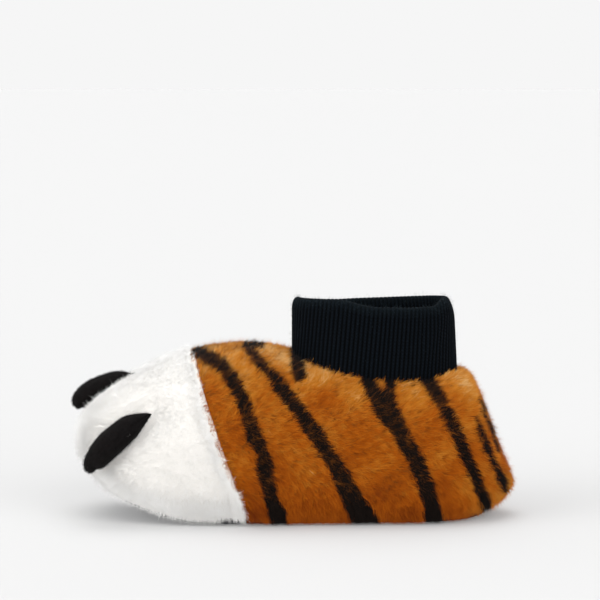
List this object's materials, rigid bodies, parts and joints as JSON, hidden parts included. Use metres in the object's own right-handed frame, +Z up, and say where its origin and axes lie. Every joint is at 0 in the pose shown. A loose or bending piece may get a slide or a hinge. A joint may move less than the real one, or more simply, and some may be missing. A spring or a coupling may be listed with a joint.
{
  "type": "house slipper",
  "caption": "Child's plush paw house slipper: striped pile upper, padded white toe with stuffed claws, ribbed knit cuff at the collar and a thin flat sole.",
  "frame": {"origin": "middle of the slipper's box, at the floor under its sole", "axes": "toe towards -X, heel towards +X, outer side of the left foot towards -Y, +Z up"},
  "size_m": [0.2034, 0.088, 0.101],
  "materials": {
    "tiger_plush": "short golden-brown polyester plush with black printed stripes",
    "white_plush": "short white polyester plush over stuffing",
    "rib_knit": "black rib knit, folded double at the rim",
    "sole_textile": "dark sole cloth with small grip dots",
    "insole_fleece": "cream fleece over foam",
    "claw_fleece": "black brushed fleece, stuffed"
  },
  "bodies": {
    "root": {"upper": "tiger_plush", "toe_cap": "white_plush", "cuff": "rib_knit", "outsole": "sole_textile", "insole": "insole_fleece", "claw_outer": "claw_fleece", "claw_middle": "claw_fleece", "claw_inner": "claw_fleece"}
  },
  "joints": []
}
